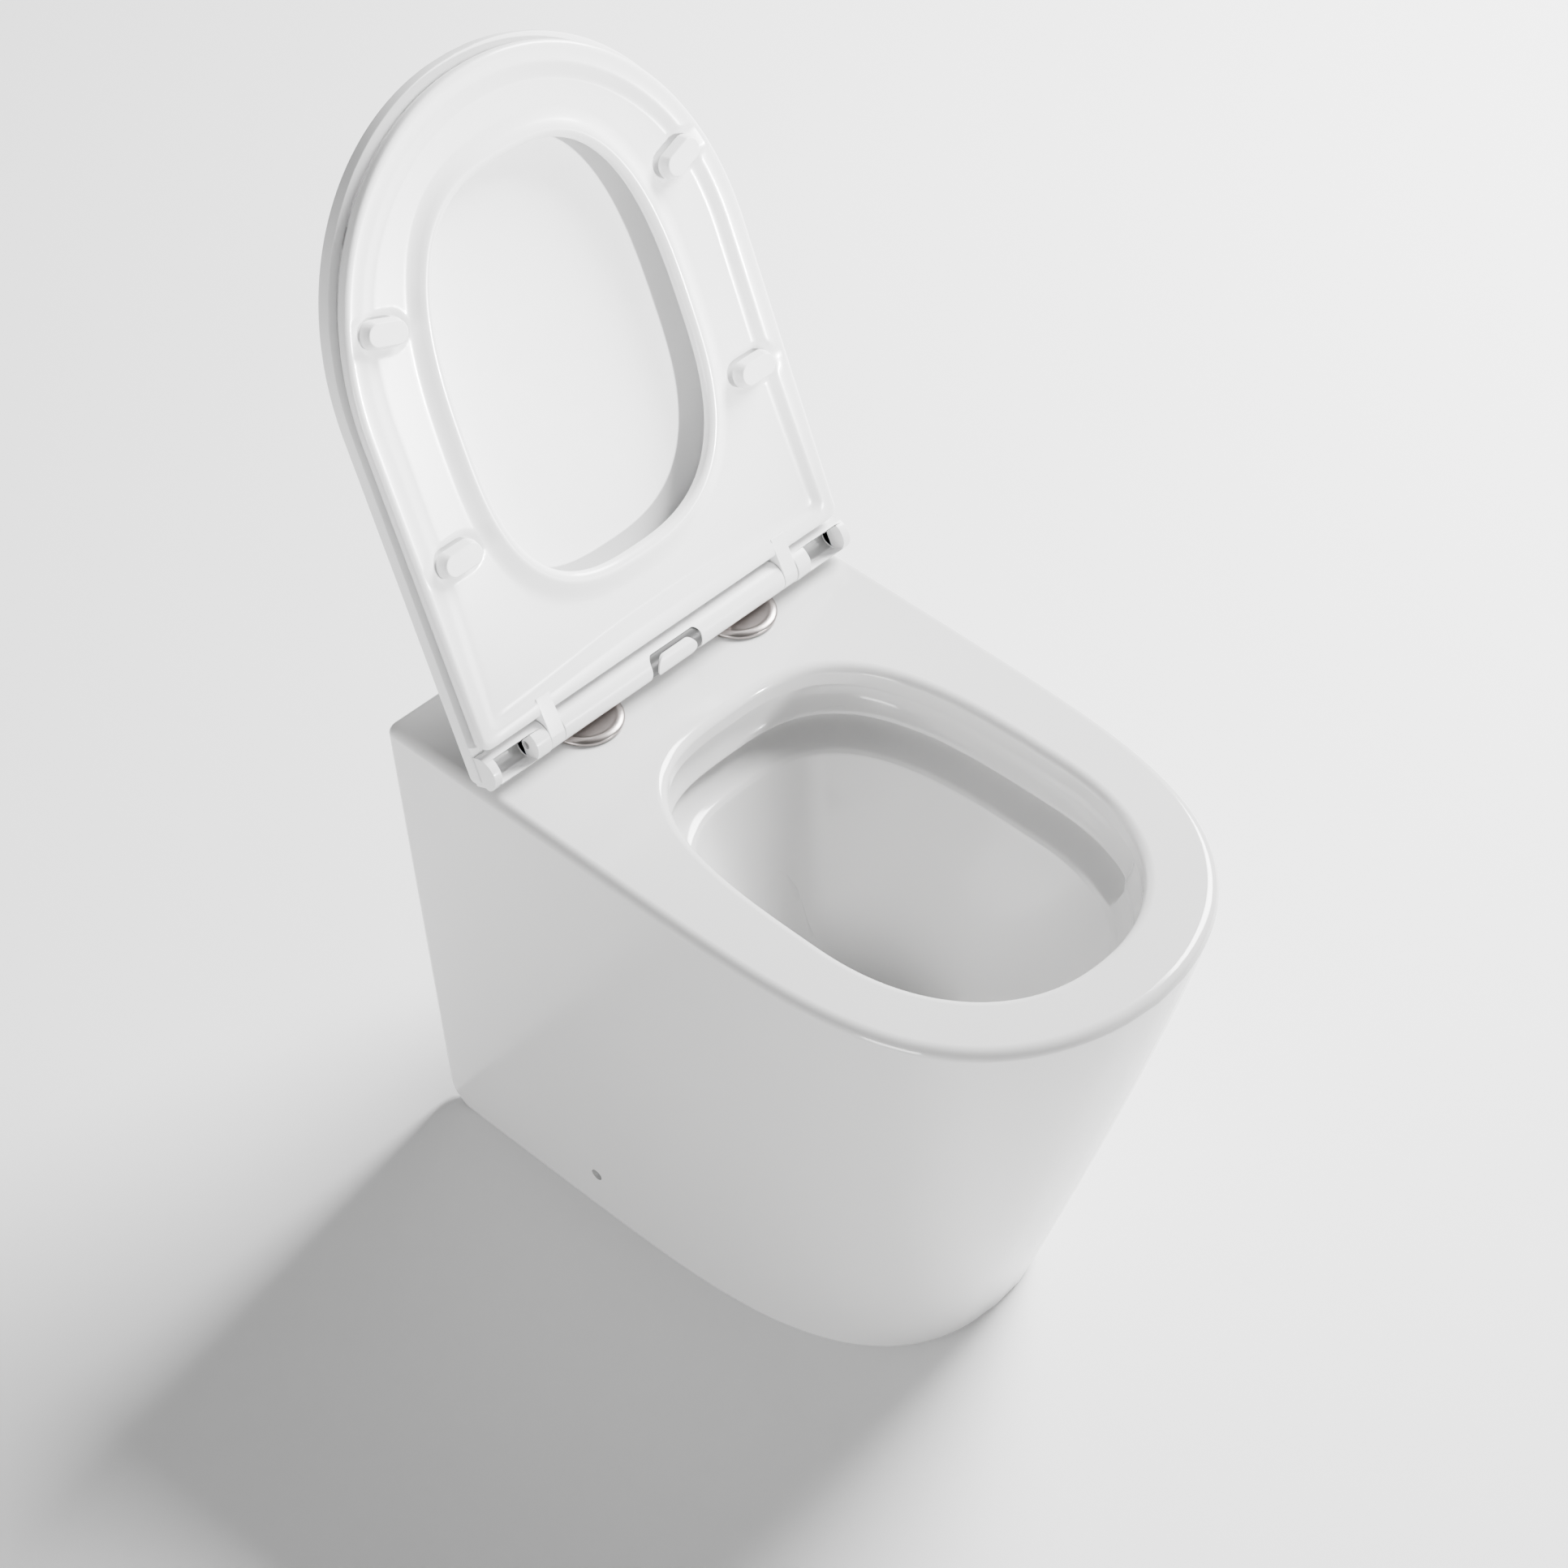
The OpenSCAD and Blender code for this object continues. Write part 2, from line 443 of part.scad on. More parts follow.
module lid_body() difference() {
  union() {
    resize([0, 0, 0]) difference() { lid_slab(); lid_recess(); }
    for (s = [-1, 1]) side(s) {
      xcyl(ring_x, end_x, 13);
      translate([ring_x, -13, 0]) cube([end_x - ring_x, 24, lid_top - 5]);
    }
  }
  translate([-ring_x, -21, -20]) cube([2 * ring_x, 40, 20 + bar_r + 1]);
  for (s = [-1, 1]) side(s) {
    xcyl(ring_x + ring_w, end_x - 7, 9.6);
    translate([ring_x + ring_w, -9.6, -20]) cube([end_x - 7 - ring_x - ring_w, 19.2, 20]);
    xcyl(ring_x - 1, ring_x + ring_w + 1, s < 0 ? 3 : 3.05);
  }
}
// the rear edge is cut back over each rosette
module lid() color(white) difference() {
  raised() lid_body();
  place() for (s = [-1, 1]) side(s) translate([hole_gap / 2 - 31, -axis_y - 8, pan_h - 30])
    cube([62, 40, 35.4]);
}
module lid_pad(s) color(white) raised() translate([s * 118, -372, seat_top + 0.3])
  cylinder(r = 7, h = lid_top - 5 - seat_top - 0.3);
module lid_buffer_l() lid_pad(-1);
module lid_buffer_r() lid_pad(1);

pan();
inlet_seal();
gasket_l();
gasket_r();
rosette_l();
rosette_r();
stud_l();
stud_r();
screw_l();
screw_r();
sleeve_l();
sleeve_r();
nut_l();
nut_r();
hinge_bar();
damper_l();
damper_r();
release_frame();
release_button();
button_spring();
latch_l();
latch_r();
lid_pin();
seat_pin();
seat();
buffer_fl();
buffer_fr();
buffer_rl();
buffer_rr();
lid();
lid_buffer_l();
lid_buffer_r();
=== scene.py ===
# Looks of the back-to-wall toilet pan with its raised seat and lid.
# Shapes are worked out in millimetres: pan shapes from the wall plane and the floor,
# seat and lid shapes in their closed position about the hinge axis, then swung open.
import json
import math
import bpy
import bmesh
import numpy as np
from mathutils import Matrix, Vector
from mathutils.geometry import delaunay_2d_cdt


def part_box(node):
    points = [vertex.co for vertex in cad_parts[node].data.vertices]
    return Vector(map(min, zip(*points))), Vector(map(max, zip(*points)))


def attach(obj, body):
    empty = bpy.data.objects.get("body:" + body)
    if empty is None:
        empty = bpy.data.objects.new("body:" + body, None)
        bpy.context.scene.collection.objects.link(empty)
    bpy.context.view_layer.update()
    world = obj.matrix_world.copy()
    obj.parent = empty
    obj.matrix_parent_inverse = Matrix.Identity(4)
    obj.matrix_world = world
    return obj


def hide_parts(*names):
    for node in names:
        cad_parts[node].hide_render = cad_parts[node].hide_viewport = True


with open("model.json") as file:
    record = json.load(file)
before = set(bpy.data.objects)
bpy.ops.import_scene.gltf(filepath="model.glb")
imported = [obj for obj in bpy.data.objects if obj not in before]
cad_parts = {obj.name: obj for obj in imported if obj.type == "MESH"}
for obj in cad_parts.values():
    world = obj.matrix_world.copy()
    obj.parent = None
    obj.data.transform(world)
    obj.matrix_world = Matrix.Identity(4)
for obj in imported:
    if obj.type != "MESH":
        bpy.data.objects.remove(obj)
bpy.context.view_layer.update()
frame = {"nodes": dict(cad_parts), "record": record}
PAN_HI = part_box("pan")[1]
JOINTS = {j["name"]: j for j in frame["record"]["behaviour"]["joints"]}
AXIS = Vector(JOINTS["lid_hinge"]["pos_m"])
OPEN = math.radians(JOINTS["lid_hinge"]["range_deg"][1])
WALL = PAN_HI.y
MM = 0.001

# ---------------------------------------------------------------- sizes, in mm
H = PAN_HI.z / MM                      # rim height
HW_TOP, HW_FOOT = 179.0, 136.0         # half widths at the deck and at the floor
REACH_TOP, REACH_FOOT = 555.0, 440.0   # reach from the wall at the deck and floor
DECK_R, HEEL_R, WALL_T, DECK_T = 8.0, 22.0, 11.0, 18.0
BOWL_HW, BOWL_MID, BOWL_REAR, BOWL_FRONT = 121.5, 360.0, 198.5, 143.0
RIM_R, SUMP_Z, SUMP_TOP = 8.0, 118.0, 240.0
OUTLET_Z = 185.0
INLET_Z, INLET_R = 335.0, 27.5
FIX_Y, FIX_Z, FIX_R = 165.0, 42.0, 5.0
HOLE_X, HOLE_Y = 77.5, 96.0            # deck holes, under the rosettes
STUD_X, STUD_Y = 63.0, 100.0           # hinge studs
ROSETTE_R = 29.0
BAR_R, BAR_HL = 12.5, 110.0
KN_W, RING_W, GAP = 13.0, 13.0, 0.6    # seat knuckle, lid ring, side clearance
END_X, RING_R, POCKET_R, PIN_BORE_R = 178.5, 13.0, 9.6, 3.05
SEAT_HW, SEAT_L, SEAT_TOP, SEAT_BOT = 178.0, 446.0, 1.0, -10.5
LID_HW, LID_L, LID_TOP, LID_RIM = 180.0, 452.0, 17.0, 3.0
HOLE_HW, HOLE_MID, HOLE_REAR, HOLE_FRONT, HOLE_E = 103, 215, 131, 163, 2.75   # seat opening
# seat buffers: x, reach from the hinge axis, turn in degrees, tag
BUFFERS = [(-138, 315, 18, "fl"), (138, 315, -18, "fr"), (-143, 150, 0, "rl"), (143, 150, 0, "rr")]
KN_X = BAR_HL + GAP
RING_X = KN_X + KN_W + GAP

# ---------------------------------------------------------------- camera, in degrees and metres
CAM_AZ, CAM_EL, CAM_ROLL = -47.75, 44.07, 1.44
CAM_AIM, CAM_DIST, CAM_LENS = (-0.00011, WALL - 0.21615, 0.38461), 2.95409, 96.88
# area lights: name, place, aim, size, power
DECK_AIM, FOOT_AIM = (0, -0.1, 0.42), (0, 0, 0.25)
LIGHTS = [("key", (2.4, 0.0, 2.4), DECK_AIM, 1.5, 500),
          ("side_fill", (-3.2, -0.9, 0.45), FOOT_AIM, 1.2, 95),
          ("nose_fill", (0.6, -3.4, 0.45), FOOT_AIM, 0.9, 8)]
BEAM_PLACE, BEAM_AIM, BEAM_POWER, BEAM_DEG = (1.3, -2.9, 1.0), (0, 0.24, 0.69), 1100, 11.5
SKY, FLOOR_HALF = 0.2, 14.0


# ---------------------------------------------------------------- mesh helpers
def pan_place(p):
    return (p[0] * MM, p[1] * MM + WALL, p[2] * MM)


def hinge_place(p):
    return (p[0] * MM + AXIS.x, p[1] * MM + AXIS.y, p[2] * MM + AXIS.z)


def raised_place(p):
    c, s = math.cos(-OPEN), math.sin(-OPEN)
    return hinge_place((p[0], p[1] * c - p[2] * s, p[1] * s + p[2] * c))


def make(name, verts, faces, place):
    me = bpy.data.meshes.new(name)
    me.from_pydata([place(v) for v in verts], [], [tuple(f) for f in faces])
    ob = bpy.data.objects.new(name, me)
    bpy.context.scene.collection.objects.link(ob)
    bm = bmesh.new()
    bm.from_mesh(me)
    bmesh.ops.remove_doubles(bm, verts=bm.verts, dist=1e-6)
    bmesh.ops.recalc_face_normals(bm, faces=bm.faces)
    bm.to_mesh(me)
    bm.free()
    return ob


def loft_data(rings, caps=True):
    """Quads between rings of equal length, closed at both ends."""
    n = len(rings[0])
    verts = [tuple(p) for r in rings for p in r]
    faces = [(k * n + i, k * n + (i + 1) % n, (k + 1) * n + (i + 1) % n, (k + 1) * n + i)
             for k in range(len(rings) - 1) for i in range(n)]
    if caps:
        faces.append(tuple(range(n - 1, -1, -1)))
        faces.append(tuple((len(rings) - 1) * n + i for i in range(n)))
    return verts, faces


def band_data(rings):
    """Quads between rings joined end to end round an opening."""
    n, m = len(rings[0]), len(rings)
    verts = [tuple(p) for r in rings for p in r]
    faces = [(k * n + i, k * n + (i + 1) % n, (k + 1) % m * n + (i + 1) % n, (k + 1) % m * n + i)
             for k in range(m) for i in range(n)]
    return verts, faces


def merge(*parts):
    verts, faces = [], []
    for v, f in parts:
        base = len(verts)
        verts += v
        faces += [tuple(i + base for i in q) for q in f]
    return verts, faces


def carve(ob, cutter, how="DIFFERENCE"):
    """Applies one boolean and drops the cutter."""
    mod = ob.modifiers.new("carve", "BOOLEAN")
    mod.operation, mod.solver, mod.object = how, "EXACT", cutter
    dg = bpy.context.evaluated_depsgraph_get()
    me = bpy.data.meshes.new_from_object(ob.evaluated_get(dg))
    ob.modifiers.clear()
    ob.data = me
    bpy.data.objects.remove(cutter)
    return ob


def bevel(ob, width, segments=3, angle=40):
    mod = ob.modifiers.new("bevel", "BEVEL")
    mod.width, mod.segments, mod.limit_method = width * MM, segments, "ANGLE"
    mod.angle_limit = math.radians(angle)
    mod.harden_normals = False
    dg = bpy.context.evaluated_depsgraph_get()
    me = bpy.data.meshes.new_from_object(ob.evaluated_get(dg))
    ob.modifiers.clear()
    ob.data = me
    return ob


def smooth(ob, angle=32):
    ob.data.shade_smooth()
    ob.data.set_sharp_from_angle(angle=math.radians(angle))
    mod = ob.modifiers.new("weighted", "WEIGHTED_NORMAL")
    mod.keep_sharp, mod.weight = True, 80
    return ob


def dress(ob, mat, body, slot, *nodes):
    ob.data.materials.clear()
    ob.data.materials.append(mat)
    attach(ob, body)
    if nodes:
        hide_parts(*nodes)
    return ob


def cylinder(axis, centre, r, h0, h1, n=64):
    """Closed cylinder along an axis (0 x, 1 y, 2 z) from h0 to h1 through centre."""
    rings = []
    for h in (h0, h1):
        ring = []
        for i in range(n):
            t = 2 * math.pi * i / n
            a, b = r * math.cos(t), r * math.sin(t)
            p = [0.0, 0.0, 0.0]
            p[axis] = h
            p[(axis + 1) % 3] = centre[0] + a
            p[(axis + 2) % 3] = centre[1] + b
            ring.append(p)
        rings.append(ring)
    return loft_data(rings)


def block(x0, x1, y0, y1, z0, z1):
    return loft_data([[(x0, y0, z), (x1, y0, z), (x1, y1, z), (x0, y1, z)] for z in (z0, z1)])


def lathe(profile, n=96, axis=2, centre=(0, 0, 0)):
    """Closed turned solid: profile points (radius, height) from the axis back to the axis."""
    rings = []
    for r, h in profile:
        ring = []
        for i in range(n):
            t = 2 * math.pi * i / n
            p = [0.0, 0.0, 0.0]
            p[axis] = h + centre[axis]
            p[(axis + 1) % 3] = max(r, 1e-3) * math.cos(t) + centre[(axis + 1) % 3]
            p[(axis + 2) % 3] = max(r, 1e-3) * math.sin(t) + centre[(axis + 2) % 3]
            ring.append(p)
        rings.append(ring)
    return loft_data(rings)


def spline(rows, steps):
    """Smooth run through rows of numbers, steps points to each span."""
    a = np.array(rows, float)
    p = np.vstack([2 * a[0] - a[1], a, 2 * a[-1] - a[-2]])
    out = []
    for i in range(1, len(p) - 2):
        for k in range(steps):
            t = k / steps
            out.append(0.5 * (2 * p[i] + (p[i + 1] - p[i - 1]) * t
                              + (2 * p[i - 1] - 5 * p[i] + 4 * p[i + 1] - p[i + 2]) * t * t
                              + (3 * p[i] - p[i - 1] - 3 * p[i + 1] + p[i + 2]) * t ** 3))
    out.append(a[-1])
    return out


def lerp(a, b, t):
    return a + (b - a) * t


def arc(r, first, last, step):
    """Points on a circle, angles in degrees, both ends included."""
    return [(r * math.cos(math.radians(v)), r * math.sin(math.radians(v)))
            for v in range(first, last + 1, step)]


def power(v, e):
    return math.copysign(abs(v) ** e, v)


# ---------------------------------------------------------------- outlines
def nose(hw, ys, reach, a, b, n):
    """Right half of the nose, from the end of the straight side to the tip."""
    out = []
    for i in range(n + 1):
        u = lerp(math.sin(math.pi / 2 * i / n), i / n, 0.35)     # closer spacing at the tip
        out.append((hw * max(0.0, 1 - u ** a) ** (1 / b), -lerp(ys, reach, u)))
    return out


def outline(hw, ys, reach, a, b, n, rear, rc, side_n=12, corner_n=8, back_n=8):
    """Whole outline, counter-clockwise from above, starting at the middle of the back."""
    half = [(lerp(0, hw - rc, k / back_n), -rear) for k in range(back_n)]
    half += [(hw - rc + rc * math.sin(math.pi / 2 * k / corner_n),
              -rear - rc + rc * math.cos(math.pi / 2 * k / corner_n))
             for k in range(corner_n + 1)]
    half += [(hw, lerp(-rear - rc, -ys, k / side_n)) for k in range(1, side_n)]
    half += nose(hw, ys, reach, a, b, n)
    left = [(-x, y) for x, y in half[1:-1]]
    return [half[0]] + left + half[:0:-1]


def egg(hw, mid, rear, front, nr, nf, n):
    out = []
    for i in range(n):
        t = 2 * math.pi * i / n
        c, s = math.cos(t), math.sin(t)
        e = nr if s > 0 else nf
        out.append((hw * power(c, 2 / e), -mid + (rear if s > 0 else front) * power(s, 2 / e)))
    return out


def skin_ring(z, inset=0.0, rear=0.0, n=64):
    t = min(1.0, max(0.0, z / H))
    g = 1 - (1 - t) ** 1.12
    return outline(lerp(HW_FOOT, HW_TOP, t) - inset, lerp(104, 95, t),
                   lerp(REACH_FOOT, REACH_TOP, g) - inset, lerp(4.2, 6.0, t),
                   lerp(2.26, 1.86, t), n, rear, 8)


def at_z(ring, z):
    return [(x, y, z) for x, y in ring]


def heel(z):
    return 0.0 if z >= HEEL_R else HEEL_R - math.sqrt(HEEL_R ** 2 - (HEEL_R - z) ** 2)


def channel(y):
    """One along the flush channel, fading to nothing just before the nose."""
    u = min(1.0, max(0.0, (y + BOWL_MID + 93) / 14))
    return u * u * (3 - 2 * u)


def bowl_ring(z, grow_ch, grow_fr, n, extra=0.0):
    """Lip outline, grown by one amount in the channel and another at the nose."""
    out = []
    for x, y in egg(BOWL_HW, BOWL_MID, BOWL_REAR, BOWL_FRONT, 3.1, 2.2, n):
        o = lerp(grow_fr, grow_ch, channel(y)) + extra
        k = (BOWL_REAR + o) / BOWL_REAR if y > -BOWL_MID else (BOWL_FRONT + o) / BOWL_FRONT
        out.append((x * (BOWL_HW + o) / BOWL_HW, -BOWL_MID + (y + BOWL_MID) * k, z))
    return out


def dish_ring(share, z, n, extra=0.0):
    """Bowl outline, some share of the way from the flush channel in to the sump."""
    ring = egg(lerp(BOWL_HW - 18, 50, share) + extra, lerp(BOWL_MID, 300, share),
               lerp(BOWL_REAR - 18, 62, share) + extra, lerp(BOWL_FRONT - 18, 70, share) + extra,
               lerp(3.1, 2, share), 2.2 - 0.2 * share, n)
    return at_z(ring, z)


def sump_ring(w, z, n):
    return at_z(egg(w, 300, w * 1.24, w * 1.4, 2, 2, n), z)


# depth below the rim, growth of the lip outline in the channel, growth at the nose
SHELF = [(16, 0, 0), (18, 2.6, -0.3), (20.5, 6.2, -0.6), (25, 7.6, -1.4), (31, 6.0, -2.4),
         (38, 2.6, -3.5), (42.5, 0.2, -4.0), (44.8, 0.0, -4.6), (46.4, 1.6, -5.0), (47.6, 4.5, -5.6),
         (49.2, 8.0, -6.4), (51.6, 10.4, -7.6), (54.4, 10.4, -9.2), (57, 7.4, -11), (59.2, 1.6, -12.4),
         (60.6, -4.0, -13.4), (61.8, -10.5, -14.4), (63.2, -14.5, -15.4), (66, -17.2, -17.2)]
# share of the way in to the sump, share of the way down to its edge
SLOPE = [(0, 0), (0.06, 0.09), (0.14, 0.2), (0.24, 0.32), (0.36, 0.46), (0.5, 0.61),
         (0.64, 0.74), (0.78, 0.87), (0.88, 0.98), (0.95, 1.08), (1.0, 1.18), (1.04, 1.3),
         (1.07, 1.46)]
SUMP = [(16, 0), (27, 3), (34, 12), (38, 30), (41, 50)]
TRAP = [(-300, 152, 34), (-262, 152, 34), (-228, 170, 35), (-200, 212, 36), (-174, 254, 38),
        (-138, 275, 38), (-105, 262, 39), (-84, 226, 40), (-64, 196, 41), (-48, 186, 41.4),
        (-18, OUTLET_Z, 41.6)]


def bowl_rows(n):
    """Rings of the bowl from the sump floor up to the rim's edge on the deck."""
    rows = [sump_ring(w, SUMP_Z + d, n) for w, d in spline(SUMP, 3)[:-1]]
    slope = [dish_ring(s, lerp(H - 68, SUMP_TOP, d), n) for s, d in spline(SLOPE, 4)]
    shelf = [bowl_ring(H - d, c, f, n) for d, c, f in spline(SHELF, 5)]
    rows += slope[::-1] + shelf[::-1]
    for k in range(1, 11):
        q = math.pi / 2 * k / 10
        g = RIM_R * (1 - math.cos(q))
        rows.append(bowl_ring(H - RIM_R + RIM_R * math.sin(q), g, g, n))
    return rows


def skin_rows():
    zs = [0, 0.7, 2, 4, 6.5, 9.5, 13, 17, HEEL_R] + [lerp(HEEL_R, H - DECK_R, k / 14)
                                                      for k in range(1, 15)]
    rows = []
    for z in zs:
        soft = 1.2 * (1 - min(1.0, z / 2)) ** 2      # small break at the foot
        rows.append(at_z(skin_ring(z, soft, heel(z)), z))
    for k in range(1, 11):
        q = math.pi / 2 * k / 10
        g = DECK_R * (1 - math.cos(q))
        rows.append(at_z(skin_ring(H - DECK_R, g, g), H - DECK_R + DECK_R * math.sin(q)))
    return rows


def deck_faces(outer, inner):
    """Flat faces between two closed loops, by Delaunay triangulation."""
    pts = [Vector((p[0], p[1])) for p in outer + inner]
    no, ni = len(outer), len(inner)
    edges = [(i, (i + 1) % no) for i in range(no)]
    edges += [(no + i, no + (i + 1) % ni) for i in range(ni)]
    res = delaunay_2d_cdt(pts, edges, [], 0, 1e-7)
    co, faces = res[0], res[2]
    origin = [ids[0] if ids else -1 for ids in res[3]]
    keep = []
    for f in faces:
        c = sum((co[i] for i in f), Vector((0, 0))) / len(f)
        if inside(c, outer) and not inside(c, inner):
            keep.append(tuple(origin[i] for i in f))
    return keep


def inside(c, loop):
    hit = False
    j = len(loop) - 1
    for i in range(len(loop)):
        xi, yi, xj, yj = loop[i][0], loop[i][1], loop[j][0], loop[j][1]
        if (yi > c[1]) != (yj > c[1]) and c[0] < (xj - xi) * (c[1] - yi) / (yj - yi) + xi:
            hit = not hit
        j = i
    return hit


# ---------------------------------------------------------------- pan
def pan_body_data():
    skin, bowl = skin_rows(), bowl_rows(200)
    sv, sf = loft_data(skin, caps=False)
    sf.append(tuple(range(len(skin[0]) - 1, -1, -1)))
    bv, bf = loft_data(bowl, caps=False)
    bf.append(tuple(range(len(bowl[0]) - 1, -1, -1)))
    base = len(sv)
    outer, inner = skin[-1], bowl[-1]
    o0, i0 = (len(skin) - 1) * len(outer), base + (len(bowl) - 1) * len(inner)
    deck = []
    for f in deck_faces(outer, inner):
        deck.append(tuple(o0 + i if i < len(outer) else i0 + i - len(outer) for i in f))
    faces = sf + [tuple(i + base for i in f) for f in bf] + deck
    return sv + bv, faces


def trap_path(grow, rows):
    """Rings along the trapway's middle line, grown by a wall."""
    path = spline(TRAP, 4)[:rows]
    rings = []
    for i, (y, z, r) in enumerate(path):
        a, b = path[max(0, i - 1)], path[min(len(path) - 1, i + 1)]
        d = math.hypot(b[0] - a[0], b[1] - a[1])
        ty, tz = (b[0] - a[0]) / d, (b[1] - a[1]) / d
        rings.append([(-(r + grow) * math.cos(t), y - (r + grow) * math.sin(t) * tz,
                       z + (r + grow) * math.sin(t) * ty)
                      for t in (2 * math.pi * k / 48 for k in range(48))])
    return rings


def build_pan(mat):
    pan = make("pan_glaze", *pan_body_data(), pan_place)
    n_rows = 4 * (len(TRAP) - 1) + 1
    hollow = loft_data([[(x, y if y < -30 else y + 40, z) for x, y in
                         skin_ring(max(z, 0), WALL_T, -40, 40)]
                        for z in (-5, 110, 210, 310, H - DECK_T)])
    cut = make("cut_hollow", *hollow, pan_place)
    shell = [sump_ring(w, SUMP_Z + d, 96) for w, d in ((24, -9), (38, -2), (47, 14), (52, 55))]
    for share, down in (SLOPE[i] for i in (11, 9, 7, 6, 4, 2, 0)):
        shell.append(dish_ring(share, lerp(H - 68, SUMP_TOP, down), 96, 10))
    shell += [bowl_ring(H - d, g, 4, 96, 8) for d, g in ((64, 4), (57, 14), (46, 15), (12, 6))]
    carve(cut, make("cut_shell", *loft_data(shell), pan_place))
    carve(pan, cut)
    small = [loft_data(trap_path(0, n_rows - 12))]
    small += [cylinder(0, (-FIX_Y, FIX_Z), FIX_R, s * 100, s * 160, 32) for s in (-1, 1)]
    small += [cylinder(2, (s * HOLE_X, -HOLE_Y), 7, H - 30, H + 10, 32) for s in (-1, 1)]
    carve(pan, make("cut_small", *merge(*small), pan_place))
    smooth(pan)
    dress(pan, mat, "pan_body", "china", "pan")
    # trapway and spigot: one tube with a true wall, cut clear of the bowl
    outer, inner = trap_path(9.4, n_rows), trap_path(0, n_rows)
    tube = make("pan_trapway", *band_data(outer + inner[::-1]), pan_place)
    carve(tube, make("cut_bowl", *loft_data(bowl_rows(72)), pan_place))
    smooth(tube, 40)
    dress(tube, mat, "pan_body", "china", "pan")
    build_inlet(mat)


def build_inlet(mat):
    boss = [(INLET_R, -20), (INLET_R + 8, -20), (INLET_R + 9, -21), (INLET_R + 9, -92),
            (INLET_R, -92)]
    rings = [[(r * math.cos(t), y, INLET_Z + r * math.sin(t))
              for t in (2 * math.pi * k / 64 for k in range(64))] for r, y in boss]
    ob = make("pan_inlet_boss", *band_data(rings), pan_place)
    smooth(ob, 40)
    dress(ob, mat, "pan_body", "china", "pan")
    for s, name in ((-1, "pan_jet_l"), (1, "pan_jet_r")):
        a = Vector((s * 14, -70, INLET_Z + 10))
        b = Vector((s * 90, -194, H - 53))
        axis = (b - a).normalized()
        u = axis.orthogonal().normalized()
        v = axis.cross(u)
        rings = [[tuple(c + (u * math.cos(t) + v * math.sin(t)) * r)
                  for t in (2 * math.pi * k / 40 for k in range(40))]
                 for c, r in ((a, 13.5), (a + axis * 2, 15), (b - axis * 2, 15), (b, 13.5))]
        jet = make(name, *loft_data(rings), pan_place)
        carve(jet, make("cut_bowl", *loft_data(bowl_rows(72)), pan_place))
        smooth(jet, 40)
        dress(jet, mat, "pan_body", "china", "pan")


# ---------------------------------------------------------------- seat
def hole_point(t):
    c, s = math.cos(t), math.sin(t)
    return (HOLE_HW * power(c, 2 / HOLE_E) if abs(c) > 1e-9 else 0.0,
            -HOLE_MID + (HOLE_REAR if s > 0 else HOLE_FRONT) * power(s, 2 / HOLE_E))


def resample(loop, n):
    """n points evenly spaced along an open run of points."""
    p = np.array(loop, float)
    d = np.concatenate([[0], np.cumsum(np.hypot(*(p[1:] - p[:-1]).T))])
    s = np.linspace(0, d[-1], n)
    return [(float(np.interp(v, d, p[:, 0])), float(np.interp(v, d, p[:, 1]))) for v in s]


def seat_edge(n):
    """Right half of the seat's outer edge, from the middle of the back to the tip."""
    hw, rear, rc = SEAT_HW - 1, 16.5, 8
    run = [(0, -rear), (hw - rc, -rear)]
    run += [(hw - rc + rc * math.sin(math.pi / 2 * k / 10), -rear - rc + rc * math.cos(math.pi / 2 * k / 10))
            for k in range(1, 11)]
    run += [(hw + k / 20, lerp(-rear - rc, -250, k / 20)) for k in range(1, 20)]
    run += nose(SEAT_HW, 250, SEAT_L, 2.1, 2.05, 240)
    return run


def seat_stations(n):
    """Pairs of matching points: outer edge and opening, all the way round."""
    edge = seat_edge(n)
    p = np.array(edge, float)
    d = np.concatenate([[0], np.cumsum(np.hypot(*(p[1:] - p[:-1]).T))])
    outer = resample(edge, n)
    s = np.linspace(0, d[-1], n)
    # angle of the opening's matching point, set so that the spokes stay nearly radial
    marks_s = [0, 100, SEAT_HW - 10, SEAT_HW + 20, SEAT_HW + 120, SEAT_HW + 230, SEAT_HW + 330,
               float(d[-1])]
    marks_t = [90, 67, 53, 48, 20, -9, -42, -90]
    ts = np.interp(s, marks_s, marks_t)
    for _ in range(12):
        ts[1:-1] = (ts[:-2] + 2 * ts[1:-1] + ts[2:]) / 4
    inner = [hole_point(math.radians(t)) for t in ts]
    pairs = list(zip(outer, inner))
    left = [((-o[0], o[1]), (-i[0], i[1])) for o, i in pairs[1:-1]][::-1]
    return pairs + left


def stadium_distance(x, y, length, width, turn):
    c, s = math.cos(math.radians(turn)), math.sin(math.radians(turn))
    u, v = x * c + y * s, -x * s + y * c
    half = (length - width) / 2
    u = max(0.0, abs(u) - half)
    return math.hypot(u, v) - width / 2


def ease(t):
    t = min(1.0, max(0.0, t))
    return t * t * (3 - 2 * t)


